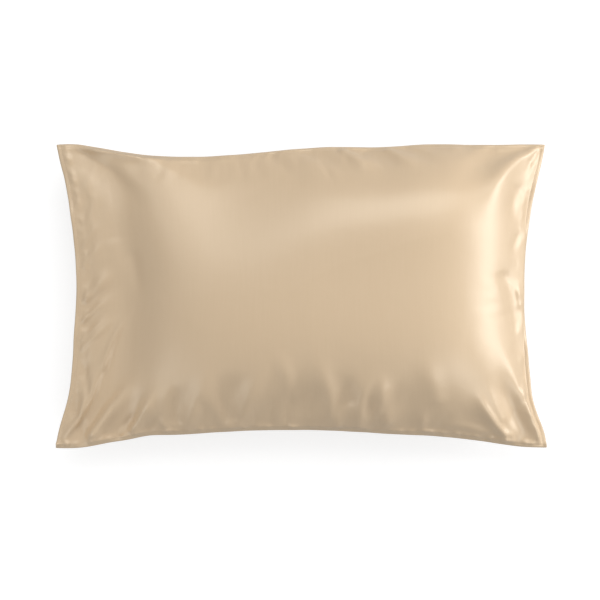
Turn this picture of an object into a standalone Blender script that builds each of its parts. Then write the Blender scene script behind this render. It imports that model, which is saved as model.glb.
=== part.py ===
"""Satin pillowcase on its pillow, lying on its back: one filled, sewn cloth form.

The case is two panels sewn together round the edge. X runs along the long side, +Y to the
upper long side, +Z up through the crown, and the underside lies flat on Z = 0. The form is
one closed solid: a top panel with its crown and folds, a bottom panel that settles on the
surface, and a thin sewn rim where the two meet.
"""

from typing import NamedTuple

import bpy
import numpy as np


class Place(NamedTuple):
    """A point of the plan, in metres."""

    x: float
    y: float


class Edge(NamedTuple):
    """One station of a side, and how far the side is drawn in there."""

    station: float
    drawn_in: float


class Rise(NamedTuple):
    """One row of a shoulder: the inset from the seam, and the share of full height."""

    inset: float
    share: float


class Fold(NamedTuple):
    """A soft ridge (lift above 0) or trough (lift below 0) along a bent line."""

    start: Place
    bend: Place
    end: Place
    start_width: float
    end_width: float
    lift: float


# Plan: the four corners, and how the sides are drawn in between them.
UPPER_LEFT = Place(-0.368, 0.227)
UPPER_RIGHT = Place(0.365, 0.225)
LOWER_LEFT = Place(-0.369, -0.227)
LOWER_RIGHT = Place(0.371, -0.227)

LEFT_SIDE = (
    Edge(-0.227, 0.0),
    Edge(-0.198, 0.006),
    Edge(-0.144, 0.0195),
    Edge(-0.070, 0.027),
    Edge(0.028, 0.0315),
    Edge(0.100, 0.025),
    Edge(0.163, 0.0155),
    Edge(0.227, 0.0),
)
RIGHT_SIDE = (
    Edge(-0.227, 0.0),
    Edge(-0.196, 0.010),
    Edge(-0.158, 0.0235),
    Edge(-0.108, 0.029),
    Edge(-0.054, 0.0338),
    Edge(0.010, 0.0346),
    Edge(0.055, 0.032),
    Edge(0.109, 0.0255),
    Edge(0.181, 0.0105),
    Edge(0.225, 0.0),
)
LOWER_SIDE = (
    Edge(-0.369, 0.0),
    Edge(-0.345, -0.001),
    Edge(-0.300, 0.004),
    Edge(-0.262, 0.0135),
    Edge(-0.204, 0.0195),
    Edge(-0.119, 0.024),
    Edge(-0.011, 0.027),
    Edge(0.050, 0.026),
    Edge(0.134, 0.021),
    Edge(0.206, 0.0165),
    Edge(0.278, 0.009),
    Edge(0.330, 0.001),
    Edge(0.371, 0.0),
)
UPPER_SIDE = (
    Edge(-0.368, 0.0),
    Edge(-0.345, -0.002),
    Edge(-0.300, 0.0035),
    Edge(-0.262, 0.011),
    Edge(-0.220, 0.0155),
    Edge(-0.140, 0.0152),
    Edge(-0.083, 0.0105),
    Edge(-0.011, 0.006),
    Edge(0.050, 0.0015),
    Edge(0.158, -0.001),
    Edge(0.278, -0.0015),
    Edge(0.330, -0.0025),
    Edge(0.365, 0.0),
)

# Heights above the surface that the case lies on.
CORNER_HEIGHT = 0.052
SIDE_LIFT = 0.015
CROWN = 0.100
BELLY = 0.086
SETTLE = 0.014
HEM_THICKNESS = 0.0024
HEM_WIDTH = 0.0065
RIM_FADE = 0.016
SEAM_WAVE = 0.0022
SEAM_WAVE_PITCH = 0.088

# Shoulders of the top panel. The left one starts as a slack band beside the pillow's end.
LEFT_SHOULDER = (
    Rise(0.0, 0.0),
    Rise(0.030, 0.13),
    Rise(0.068, 0.25),
    Rise(0.092, 0.42),
    Rise(0.130, 0.65),
    Rise(0.190, 0.84),
    Rise(0.260, 0.95),
    Rise(0.340, 1.0),
)
RIGHT_SHOULDER = (
    Rise(0.0, 0.0),
    Rise(0.014, 0.14),
    Rise(0.040, 0.42),
    Rise(0.075, 0.66),
    Rise(0.125, 0.84),
    Rise(0.210, 0.96),
    Rise(0.320, 1.0),
)
LOWER_SHOULDER = (
    Rise(0.0, 0.0),
    Rise(0.016, 0.20),
    Rise(0.040, 0.45),
    Rise(0.075, 0.69),
    Rise(0.120, 0.89),
    Rise(0.200, 1.0),
)
UPPER_SHOULDER = (
    Rise(0.0, 0.0),
    Rise(0.018, 0.19),
    Rise(0.045, 0.43),
    Rise(0.080, 0.67),
    Rise(0.125, 0.88),
    Rise(0.205, 1.0),
)
UNDER_SHOULDER = (
    Rise(0.0, 0.0),
    Rise(0.014, 0.20),
    Rise(0.040, 0.48),
    Rise(0.080, 0.75),
    Rise(0.130, 0.93),
    Rise(0.200, 1.0),
)

# Folds of the top panel, side by side round the case.
FOLDS = (
    # Upper left corner: a long ridge out of the corner, and the valley under it.
    Fold(Place(-0.362, 0.222), Place(-0.262, 0.205), Place(-0.165, 0.140), 0.011, 0.028, 0.013),
    Fold(Place(-0.346, 0.208), Place(-0.300, 0.172), Place(-0.246, 0.085), 0.011, 0.022, -0.012),
    # Crease between the slack band and the pillow's end, down to the lower left corner.
    Fold(Place(-0.240, 0.150), Place(-0.254, 0.000), Place(-0.304, -0.150), 0.018, 0.012, -0.008),
    Fold(Place(-0.262, -0.050), Place(-0.290, -0.140), Place(-0.352, -0.214), 0.012, 0.012, -0.010),
    Fold(Place(-0.268, 0.090), Place(-0.270, -0.040), Place(-0.322, -0.180), 0.013, 0.012, 0.005),
    Fold(Place(-0.332, -0.045), Place(-0.305, -0.030), Place(-0.280, -0.010), 0.010, 0.012, 0.003),
    Fold(Place(-0.332, -0.085), Place(-0.308, -0.068), Place(-0.288, -0.050), 0.010, 0.012, 0.003),
    # Lower left corner.
    Fold(Place(-0.330, -0.216), Place(-0.296, -0.180), Place(-0.245, -0.138), 0.010, 0.018, 0.011),
    Fold(Place(-0.276, -0.206), Place(-0.252, -0.178), Place(-0.222, -0.150), 0.010, 0.012, -0.007),
    Fold(Place(-0.236, -0.202), Place(-0.226, -0.183), Place(-0.210, -0.156), 0.010, 0.012, 0.009),
    Fold(Place(-0.210, -0.203), Place(-0.198, -0.185), Place(-0.180, -0.150), 0.010, 0.015, -0.008),
    # Gathers along the lower side.
    Fold(Place(-0.142, -0.197), Place(-0.140, -0.150), Place(-0.131, -0.090), 0.010, 0.015, 0.007),
    Fold(Place(-0.118, -0.198), Place(-0.110, -0.170), Place(-0.090, -0.130), 0.010, 0.016, -0.007),
    Fold(Place(-0.090, -0.198), Place(-0.062, -0.160), Place(-0.040, -0.085), 0.010, 0.015, 0.008),
    Fold(Place(-0.050, -0.197), Place(-0.020, -0.172), Place(0.010, -0.130), 0.014, 0.022, -0.008),
    Fold(Place(0.026, -0.197), Place(0.022, -0.172), Place(0.012, -0.135), 0.012, 0.018, -0.007),
    Fold(Place(0.066, -0.197), Place(0.044, -0.160), Place(0.030, -0.080), 0.010, 0.014, 0.010),
    Fold(Place(0.078, -0.190), Place(0.070, -0.165), Place(0.062, -0.120), 0.010, 0.012, -0.006),
    Fold(Place(0.092, -0.198), Place(0.093, -0.172), Place(0.091, -0.140), 0.010, 0.012, 0.006),
    Fold(Place(0.136, -0.186), Place(0.126, -0.160), Place(0.108, -0.125), 0.010, 0.012, 0.005),
    Fold(Place(0.176, -0.188), Place(0.182, -0.160), Place(0.170, -0.105), 0.014, 0.018, -0.009),
    Fold(Place(0.214, -0.188), Place(0.212, -0.150), Place(0.206, -0.105), 0.010, 0.015, 0.006),
    Fold(Place(0.262, -0.196), Place(0.252, -0.165), Place(0.240, -0.130), 0.011, 0.016, -0.007),
    # Lower right corner: two ridges out of the corner with a valley between.
    Fold(Place(0.330, -0.217), Place(0.282, -0.180), Place(0.264, -0.105), 0.010, 0.014, 0.011),
    Fold(Place(0.340, -0.208), Place(0.312, -0.175), Place(0.292, -0.105), 0.010, 0.012, -0.009),
    Fold(Place(0.363, -0.218), Place(0.330, -0.160), Place(0.292, -0.050), 0.010, 0.014, 0.012),
    # Dents beside the right seam.
    Fold(Place(0.342, 0.160), Place(0.324, 0.145), Place(0.304, 0.120), 0.010, 0.012, -0.006),
    Fold(Place(0.338, 0.086), Place(0.322, 0.080), Place(0.306, 0.078), 0.010, 0.012, -0.005),
    Fold(Place(0.332, -0.010), Place(0.322, -0.008), Place(0.304, 0.000), 0.011, 0.012, -0.006),
    # Upper right corner: a ridge that bends down into the right shoulder, and its valley.
    Fold(Place(0.358, 0.220), Place(0.300, 0.205), Place(0.276, 0.105), 0.010, 0.020, 0.011),
    Fold(Place(0.318, 0.218), Place(0.285, 0.200), Place(0.236, 0.170), 0.010, 0.018, -0.008),
    # Small gathers along the upper side.
    Fold(Place(-0.300, 0.220), Place(-0.268, 0.208), Place(-0.235, 0.192), 0.010, 0.012, -0.005),
    Fold(Place(-0.100, 0.210), Place(-0.092, 0.190), Place(-0.070, 0.165), 0.010, 0.016, -0.003),
    Fold(Place(0.022, 0.220), Place(0.044, 0.204), Place(0.070, 0.180), 0.010, 0.012, -0.005),
    Fold(Place(0.072, 0.222), Place(0.092, 0.210), Place(0.124, 0.190), 0.010, 0.012, -0.005),
    Fold(Place(0.130, 0.222), Place(0.148, 0.208), Place(0.176, 0.186), 0.010, 0.012, -0.004),
    Fold(Place(0.190, 0.223), Place(0.204, 0.208), Place(0.222, 0.182), 0.010, 0.012, -0.004),
)

# Folds of the bottom panel, shallow, from the corners and seams in to where it rests.
UNDER_FOLDS = (
    Fold(Place(-0.352, 0.212), Place(-0.300, 0.176), Place(-0.235, 0.130), 0.010, 0.020, 0.010),
    Fold(Place(0.350, 0.210), Place(0.302, 0.178), Place(0.236, 0.126), 0.010, 0.020, 0.010),
    Fold(Place(-0.352, -0.212), Place(-0.300, -0.180), Place(-0.240, -0.128), 0.010, 0.020, 0.010),
    Fold(Place(0.354, -0.212), Place(0.302, -0.184), Place(0.244, -0.130), 0.010, 0.020, 0.010),
    Fold(Place(-0.170, 0.212), Place(-0.160, 0.180), Place(-0.144, 0.140), 0.010, 0.015, 0.007),
    Fold(Place(-0.040, 0.216), Place(-0.030, 0.190), Place(-0.034, 0.150), 0.012, 0.016, -0.006),
    Fold(Place(0.060, 0.222), Place(0.052, 0.190), Place(0.046, 0.145), 0.010, 0.015, 0.007),
    Fold(Place(0.200, 0.224), Place(0.190, 0.190), Place(0.172, 0.145), 0.010, 0.015, 0.006),
    Fold(Place(-0.140, -0.202), Place(-0.134, -0.176), Place(-0.118, -0.130), 0.010, 0.015, 0.007),
    Fold(Place(-0.030, -0.199), Place(-0.020, -0.172), Place(-0.024, -0.128), 0.010, 0.015, 0.006),
    Fold(Place(0.060, -0.200), Place(0.056, -0.172), Place(0.066, -0.128), 0.012, 0.016, -0.006),
    Fold(Place(0.170, -0.206), Place(0.160, -0.180), Place(0.142, -0.132), 0.010, 0.015, 0.007),
    Fold(Place(-0.336, 0.060), Place(-0.310, 0.066), Place(-0.262, 0.058), 0.010, 0.015, 0.006),
    Fold(Place(-0.338, -0.070), Place(-0.310, -0.062), Place(-0.262, -0.050), 0.010, 0.015, 0.006),
    Fold(Place(0.336, 0.050), Place(0.310, 0.056), Place(0.262, 0.048), 0.010, 0.015, 0.006),
    Fold(Place(0.336, -0.080), Place(0.310, -0.072), Place(0.262, -0.060), 0.010, 0.015, 0.006),
)

# Mesh of the panels: cells across, and how much closer they stand near the seams.
CELLS_ALONG = 66
CELLS_ACROSS = 42
EDGE_CROWDING = 0.35

# A fold swells in over the first share of its length and fades out over the last.
SWELL_IN = 0.28
FADE_OUT = 0.60
TROUGH_SHARE = 0.8
LEAST_ROOM = 0.000001
PATH_STEPS = 24

SATIN_COLOUR = (0.62, 0.48, 0.33, 1.0)
SATIN_ROUGHNESS = 0.38


def clear_objects():
    """Remove what the scene holds, so that the model stands alone."""
    for item in list(bpy.data.objects):
        bpy.data.objects.remove(item, do_unlink=True)


def through(rows, value):
    """Read a smooth curve through two-column rows at each value."""
    places = np.array([row[0] for row in rows])
    levels = np.array([row[1] for row in rows])
    slopes = np.gradient(levels, places)
    value = np.clip(value, places[0], places[-1])
    index = np.clip(np.searchsorted(places, value) - 1, 0, len(places) - 2)
    span = places[index + 1] - places[index]
    part = (value - places[index]) / span
    rest = 1.0 - part
    near = levels[index] * (1.0 + 2.0 * part) * rest * rest
    near += slopes[index] * span * part * rest * rest
    far = levels[index + 1] * (3.0 - 2.0 * part) * part * part
    far -= slopes[index + 1] * span * part * part * rest
    return near + far


def mix(low, high, share):
    """Go from low to high by a share."""
    return low + (high - low) * share


def smooth(share):
    """Ease a share in and out between 0 and 1."""
    share = np.clip(share, 0.0, 1.0)
    return share * share * (3.0 - 2.0 * share)


def bow(share):
    """Rise from 0 at both ends to 1 in the middle."""
    return 1.0 - (2.0 * share - 1.0) ** 2


def stations(cells):
    """Space the grid lines of a panel, closer together near the two seams."""
    even = np.linspace(0.0, 1.0, cells + 1)
    return even - EDGE_CROWDING * np.sin(2.0 * np.pi * even) / (2.0 * np.pi)


def plan_of(across, along):
    """Lay the grid out in plan, with the distance of each point from the four sides."""
    left_y = mix(LOWER_LEFT.y, UPPER_LEFT.y, across)
    right_y = mix(LOWER_RIGHT.y, UPPER_RIGHT.y, across)
    left = mix(LOWER_LEFT.x, UPPER_LEFT.x, across) + through(LEFT_SIDE, left_y)
    right = mix(LOWER_RIGHT.x, UPPER_RIGHT.x, across) - through(RIGHT_SIDE, right_y)
    lower_x = mix(LOWER_LEFT.x, LOWER_RIGHT.x, along)
    upper_x = mix(UPPER_LEFT.x, UPPER_RIGHT.x, along)
    lower = mix(LOWER_LEFT.y, LOWER_RIGHT.y, along) + through(LOWER_SIDE, lower_x)
    upper = mix(UPPER_LEFT.y, UPPER_RIGHT.y, along) - through(UPPER_SIDE, upper_x)
    x = mix(left, right, along)
    y = mix(lower, upper, across)
    return x, y, x - left, right - x, y - lower, upper - y


def fold_lift(x, y, fold):
    """Height that one fold adds at each point, soft across it and fading along it."""
    share = np.linspace(0.0, 1.0, PATH_STEPS)
    path_x = (1 - share) ** 2 * fold.start.x + 2 * share * (1 - share) * fold.bend.x
    path_x += share**2 * fold.end.x
    path_y = (1 - share) ** 2 * fold.start.y + 2 * share * (1 - share) * fold.bend.y
    path_y += share**2 * fold.end.y
    best = np.full(x.shape, np.inf)
    along = np.zeros(x.shape)
    for step in range(PATH_STEPS - 1):
        run_x = path_x[step + 1] - path_x[step]
        run_y = path_y[step + 1] - path_y[step]
        reach = ((x - path_x[step]) * run_x + (y - path_y[step]) * run_y) / (run_x**2 + run_y**2)
        reach = np.clip(reach, 0.0, 1.0)
        off_x = x - path_x[step] - reach * run_x
        off_y = y - path_y[step] - reach * run_y
        distance = off_x**2 + off_y**2
        nearer = distance < best
        best = np.where(nearer, distance, best)
        along = np.where(nearer, (step + reach) / (PATH_STEPS - 1), along)
    width = mix(fold.start_width, fold.end_width, along)
    fade = smooth(along / SWELL_IN) * smooth((1.0 - along) / FADE_OUT)
    return fold.lift * fade * np.exp(-best / width**2)


def relief(x, y, folds, room):
    """Add up the folds of a panel; a trough never takes more than its share of the room."""
    total = np.zeros(x.shape)
    for fold in folds:
        total += fold_lift(x, y, fold)
    dip = np.maximum(-total, 0.0)
    limit = TROUGH_SHARE * room + LEAST_ROOM
    return np.maximum(total, 0.0) - dip * limit / (dip + limit)


def seam_height(across, along, x, y):
    """Height of the seam, carried evenly in over the panels between the sides."""
    bows = bow(across) + bow(along) - bow(across) * bow(along)
    wave = np.sin(2.0 * np.pi * x / SEAM_WAVE_PITCH) * np.sin(2.0 * np.pi * y / SEAM_WAVE_PITCH)
    edge = 1.0 - bow(across) * bow(along)
    return CORNER_HEIGHT + SIDE_LIFT * bows + SEAM_WAVE * wave * edge**4


def settle(height):
    """Lay the bottom panel on the surface: flat where it would reach below it."""
    eased = (height + SETTLE) ** 2 / (4.0 * SETTLE)
    lifted = np.where(height < SETTLE, eased, height)
    return np.where(height < -SETTLE, 0.0, lifted)


def panels():
    """Work out the plan and the two height fields of the case."""
    along, across = np.meshgrid(stations(CELLS_ALONG), stations(CELLS_ACROSS), indexing="ij")
    x, y, from_left, from_right, from_lower, from_upper = plan_of(across, along)
    seam = seam_height(across, along, x, y)
    in_left = np.maximum(from_left - HEM_WIDTH, 0.0)
    in_right = np.maximum(from_right - HEM_WIDTH, 0.0)
    ends = through(LEFT_SHOULDER, in_left) * through(RIGHT_SHOULDER, in_right)
    sides = through(LOWER_SHOULDER, from_lower) * through(UPPER_SHOULDER, from_upper)
    loft = CROWN * ends * sides
    under_ends = through(UNDER_SHOULDER, in_left) * through(UNDER_SHOULDER, in_right)
    under_sides = through(UNDER_SHOULDER, from_lower) * through(UNDER_SHOULDER, from_upper)
    depth = BELLY * under_ends * under_sides

    nearest = np.minimum(np.minimum(in_left, in_right), np.minimum(from_lower, from_upper))
    rim_fade = smooth(nearest / RIM_FADE)
    upper_folds = relief(x, y, FOLDS, loft) * rim_fade
    under_folds = relief(x, y, UNDER_FOLDS, depth) * rim_fade
    top = seam + HEM_THICKNESS / 2.0 + loft + upper_folds
    bottom = settle(seam - HEM_THICKNESS / 2.0 - depth - under_folds)
    return x, y, top, bottom


def case_mesh():
    """Join the top panel, the bottom panel and the thin rim between them."""
    x, y, top, bottom = panels()
    x = x - (x.max() + x.min()) / 2.0
    y = y - (y.max() + y.min()) / 2.0
    columns, rows = x.shape
    upper_points = np.stack((x, y, top), axis=-1).reshape(-1, 3)
    lower_points = np.stack((x, y, bottom), axis=-1).reshape(-1, 3)
    offset = len(upper_points)

    faces = []
    for column in range(columns - 1):
        for row in range(rows - 1):
            near = column * rows + row
            far = near + rows
            faces.append((near, far, far + 1, near + 1))
            faces.append((offset + near, offset + near + 1, offset + far + 1, offset + far))

    ring = [column * rows for column in range(columns)]
    ring += [(columns - 1) * rows + row for row in range(1, rows)]
    ring += [column * rows + rows - 1 for column in range(columns - 2, -1, -1)]
    ring += list(range(rows - 2, 0, -1))
    for place, point in enumerate(ring):
        following = ring[(place + 1) % len(ring)]
        faces.append((following, point, offset + point, offset + following))

    mesh = bpy.data.meshes.new("pillowcase")
    mesh.from_pydata(np.concatenate((upper_points, lower_points)).tolist(), [], faces)
    mesh.update()
    return mesh


def satin():
    """Champagne satin of both panels."""
    material = bpy.data.materials.new("satin")
    material.use_nodes = True
    shader = material.node_tree.nodes["Principled BSDF"]
    shader.inputs["Base Color"].default_value = SATIN_COLOUR
    shader.inputs["Roughness"].default_value = SATIN_ROUGHNESS
    shader.inputs["Metallic"].default_value = 0.0
    return material


def main():
    """Make the one sewn piece."""
    clear_objects()
    mesh = case_mesh()
    mesh.materials.append(satin())
    mesh.shade_smooth()
    case = bpy.data.objects.new("pillowcase", mesh)
    bpy.context.scene.collection.objects.link(case)


main()
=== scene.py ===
"""A champagne satin pillowcase on its pillow, lying on its back on a pale studio floor.

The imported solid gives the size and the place. The case that shows is one closed, padded form:
two satin panels, sewn together round a narrow hem, with the crown, the slack band beside the
pillow's end, the folds out of each corner and the small gathers of the seams. The stitches of
the hem are a second piece, which stands on it. All sizes are in metres.
"""

import logging
import math
from dataclasses import dataclass, replace
from enum import Enum
from typing import NamedTuple

import bpy
import numpy as np
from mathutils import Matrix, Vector


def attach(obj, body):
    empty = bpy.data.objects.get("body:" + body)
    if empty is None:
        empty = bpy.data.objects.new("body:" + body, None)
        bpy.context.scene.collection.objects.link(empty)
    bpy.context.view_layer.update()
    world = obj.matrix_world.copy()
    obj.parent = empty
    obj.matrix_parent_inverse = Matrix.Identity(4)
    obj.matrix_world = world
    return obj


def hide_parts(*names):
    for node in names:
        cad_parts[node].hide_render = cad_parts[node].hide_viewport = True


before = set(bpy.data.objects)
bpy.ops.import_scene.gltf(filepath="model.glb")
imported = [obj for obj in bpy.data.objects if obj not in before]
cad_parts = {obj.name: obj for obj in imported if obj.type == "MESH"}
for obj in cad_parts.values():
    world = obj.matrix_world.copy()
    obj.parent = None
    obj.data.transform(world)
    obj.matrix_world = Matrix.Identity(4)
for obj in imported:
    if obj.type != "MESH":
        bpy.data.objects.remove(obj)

LOG = logging.getLogger("pillowcase")
NODE = "pillowcase"
BODY = "root"
CLOTH_MAP = "cloth"

FIRST_COLOUR = 6
SECOND_COLOUR = 7
BLENDED_COLOUR = 2

Socket = bpy.types.NodeSocket
Amount = float | np.ndarray
Colour = tuple[float, float, float, float]
Point = tuple[float, float, float]


class Place(NamedTuple):
    """A point of the plan."""

    x: float
    y: float


class Row(NamedTuple):
    """One row of a smooth profile: a place along it, and the amount there."""

    place: float
    amount: float


class Spot(NamedTuple):
    """A point of the camera's frame: across from its left edge, and down from its top."""

    across: float
    down: float


class Fold(NamedTuple):
    """A soft ridge (lift above 0) or trough (below 0) along a bent line.

    lean above 0 makes the slope on the left of the line, seen from its start, the gentler.
    """

    start: Place
    bend: Place
    end: Place
    start_width: float
    end_width: float
    lift: float
    lean: float = 0.0

    def point(self, share: np.ndarray) -> tuple[np.ndarray, np.ndarray]:
        """Find the points of the line.

        Args:
            share: how far along the line each point is.

        Returns:
            x and y of each point.
        """
        swing = 2.0 * share * (1.0 - share)
        x = (1.0 - share) ** 2 * self.start.x + swing * self.bend.x + share**2 * self.end.x
        y = (1.0 - share) ** 2 * self.start.y + swing * self.bend.y + share**2 * self.end.y
        return x, y

    def run(self, share: np.ndarray) -> tuple[np.ndarray, np.ndarray]:
        """Find how the line runs on.

        Args:
            share: how far along the line each point is.

        Returns:
            Change of x and of y with the share, at each point.
        """
        x = 2.0 * mix(self.bend.x - self.start.x, self.end.x - self.bend.x, share)
        y = 2.0 * mix(self.bend.y - self.start.y, self.end.y - self.bend.y, share)
        return x, y


class Crease(NamedTuple):
    """A fold whose line is given by spots of the frame. Its widths and lift are real sizes."""

    start: Spot
    bend: Spot
    end: Spot
    start_width: float
    end_width: float
    lift: float
    lean: float = 0.0


class Swell(NamedTuple):
    """A broad low rise or dip of the filling under the cloth."""

    centre: Place
    reach_x: float
    reach_y: float
    lift: float


class Side(Enum):
    """The four sewn sides of the case."""

    LEFT = "left"
    RIGHT = "right"
    LOWER = "lower"
    UPPER = "upper"


def mix(low: Amount, high: Amount, share: Amount) -> Amount:
    """Go from low, at share 0, to high, at share 1."""
    return low + (high - low) * share


def ease(share: np.ndarray) -> np.ndarray:
    """Ease a share in and out between 0 and 1, level in slope and bend at both ends."""
    share = np.clip(share, 0.0, 1.0)
    return share**3 * (10.0 - 15.0 * share + 6.0 * share * share)


def through(rows: tuple[Row, ...], value: np.ndarray) -> np.ndarray:
    """Read the smooth curve (a natural cubic spline) that goes through rows.

    Args:
        rows: the rows, in order of place.
        value: the places to read, held to the rows' range.

    Returns:
        The amount at each place.
    """
    place = np.array([row.place for row in rows])
    amount = np.array([row.amount for row in rows])
    gap = np.diff(place)
    count = len(rows)
    system = np.eye(count)
    target = np.zeros(count)
    for row in range(1, count - 1):
        system[row, row - 1] = gap[row - 1]
        system[row, row] = 2.0 * (gap[row - 1] + gap[row])
        system[row, row + 1] = gap[row]
        rise = (amount[row + 1] - amount[row]) / gap[row]
        target[row] = 6.0 * (rise - (amount[row] - amount[row - 1]) / gap[row - 1])
    bend = np.linalg.solve(system, target)
    value = np.clip(value, place[0], place[-1])
    index = np.clip(np.searchsorted(place, value) - 1, 0, count - 2)
    after = (value - place[index]) / gap[index]
    before = 1.0 - after
    curve = (before**3 - before) * bend[index] + (after**3 - after) * bend[index + 1]
    return before * amount[index] + after * amount[index + 1] + curve * gap[index] ** 2 / 6.0


def grid_quads(index: np.ndarray) -> np.ndarray:
    """List the four-sided faces of a grid of point numbers."""
    around = (index[:-1, :-1], index[1:, :-1], index[1:, 1:], index[:-1, 1:])
    return np.stack(around, axis=-1).reshape(-1, 4)


def weighted(along: np.ndarray, across: np.ndarray, grid: np.ndarray) -> np.ndarray:
    """Carry a grid of points over by weights along and across it."""
    return np.einsum("ia,jb,abk->ijk", along, across, grid, optimize=True)


@dataclass
class Outline:
    """Plan of the case: its four corners, and how far each side is drawn in between them.

    A side's rows give, at places along it, the distance in from the straight line between
    its corners.
    """

    upper_left: Place = Place(-0.3705, 0.2278)
    upper_right: Place = Place(0.3665, 0.2278)
    lower_left: Place = Place(-0.3720, -0.2295)
    lower_right: Place = Place(0.3700, -0.2290)
    left: tuple[Row, ...] = (
        Row(-0.2295, 0.0),
        Row(-0.210, 0.0036),
        Row(-0.187, 0.0100),
        Row(-0.163, 0.0172),
        Row(-0.126, 0.0245),
        Row(-0.088, 0.0276),
        Row(-0.030, 0.0312),
        Row(0.025, 0.0328),
        Row(0.063, 0.0302),
        Row(0.100, 0.0262),
        Row(0.138, 0.0205),
        Row(0.175, 0.0132),
        Row(0.206, 0.0050),
        Row(0.2278, 0.0),
    )
    right: tuple[Row, ...] = (
        Row(-0.2290, 0.0),
        Row(-0.212, 0.0030),
        Row(-0.190, 0.0105),
        Row(-0.163, 0.0205),
        Row(-0.126, 0.0260),
        Row(-0.080, 0.0302),
        Row(-0.040, 0.0336),
        Row(0.010, 0.0346),
        Row(0.062, 0.0322),
        Row(0.100, 0.0276),
        Row(0.138, 0.0212),
        Row(0.175, 0.0126),
        Row(0.200, 0.0055),
        Row(0.2278, 0.0),
    )
    lower: tuple[Row, ...] = (
        Row(-0.372, 0.0),
        Row(-0.345, 0.0002),
        Row(-0.318, 0.0034),
        Row(-0.288, 0.0092),
        Row(-0.262, 0.0136),
        Row(-0.230, 0.0196),
        Row(-0.200, 0.0208),
        Row(-0.119, 0.0255),
        Row(-0.011, 0.0285),
        Row(0.050, 0.0273),
        Row(0.134, 0.0222),
        Row(0.206, 0.0182),
        Row(0.278, 0.0096),
        Row(0.330, 0.0022),
        Row(0.370, 0.0),
    )
    upper: tuple[Row, ...] = (
        Row(-0.3705, 0.0),
        Row(-0.345, -0.0006),
        Row(-0.318, 0.0030),
        Row(-0.262, 0.0130),
        Row(-0.220, 0.0178),
        Row(-0.140, 0.0190),
        Row(-0.083, 0.0153),
        Row(-0.030, 0.0102),
        Row(0.040, 0.0053),
        Row(0.103, 0.0054),
        Row(0.134, 0.0046),
        Row(0.164, 0.0020),
        Row(0.220, 0.0006),
        Row(0.300, 0.0008),
        Row(0.344, -0.0004),
        Row(0.3665, 0.0),
    )

    def edges(self, along: np.ndarray, across: np.ndarray) -> dict[Side, np.ndarray]:
        """Find the four sides at each grid place.

        Args:
            along: share of the way from the left side to the right.
            across: share of the way from the lower side to the upper.

        Returns:
            x of the left and right sides, and y of the lower and upper sides.
        """
        left_y = mix(self.lower_left.y, self.upper_left.y, across)
        right_y = mix(self.lower_right.y, self.upper_right.y, across)
        lower_x = mix(self.lower_left.x, self.lower_right.x, along)
        upper_x = mix(self.upper_left.x, self.upper_right.x, along)
        left = mix(self.lower_left.x, self.upper_left.x, across) + through(self.left, left_y)
        right = mix(self.lower_right.x, self.upper_right.x, across)
        right = right - through(self.right, right_y)
        lower = mix(self.lower_left.y, self.lower_right.y, along) + through(self.lower, lower_x)
        upper = mix(self.upper_left.y, self.upper_right.y, along) - through(self.upper, upper_x)
        return {Side.LEFT: left, Side.RIGHT: right, Side.LOWER: lower, Side.UPPER: upper}


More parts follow.
